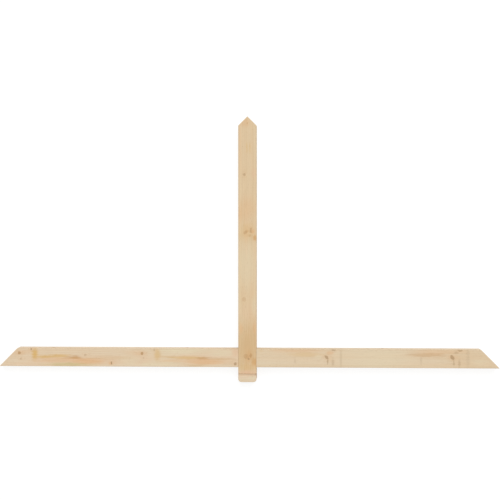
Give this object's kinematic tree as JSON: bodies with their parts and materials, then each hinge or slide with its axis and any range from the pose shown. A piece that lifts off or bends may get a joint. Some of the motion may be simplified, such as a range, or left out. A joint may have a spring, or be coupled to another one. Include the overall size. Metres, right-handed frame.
{
  "type": "timber gable bracket",
  "caption": "Flat timber bracket that dresses a roof gable: an upright king post with a pointed head crosses a tie beam whose ends are cut to the roof pitch, on a rounded foot block.",
  "frame": {"origin": "on the back plane, on the king post's centre line, level with the tie beam's lower edge", "axes": "+X along the tie beam, +Y up the king post towards the ridge, +Z out of the front faces; the bracket lies on its back"},
  "size_m": [2.4384, 1.2922, 0.0635],
  "materials": {
    "post_timber": "bare planed softwood with knots, upright grain",
    "tie_timber": "bare planed softwood with knots, grain along the beam",
    "foot_timber": "bare planed softwood, pale, grain across the block"
  },
  "bodies": {
    "root": {"king_post": "post_timber", "tie_beam_left": "tie_timber", "tie_beam_right": "tie_timber", "foot_block": "foot_timber"}
  },
  "joints": []
}
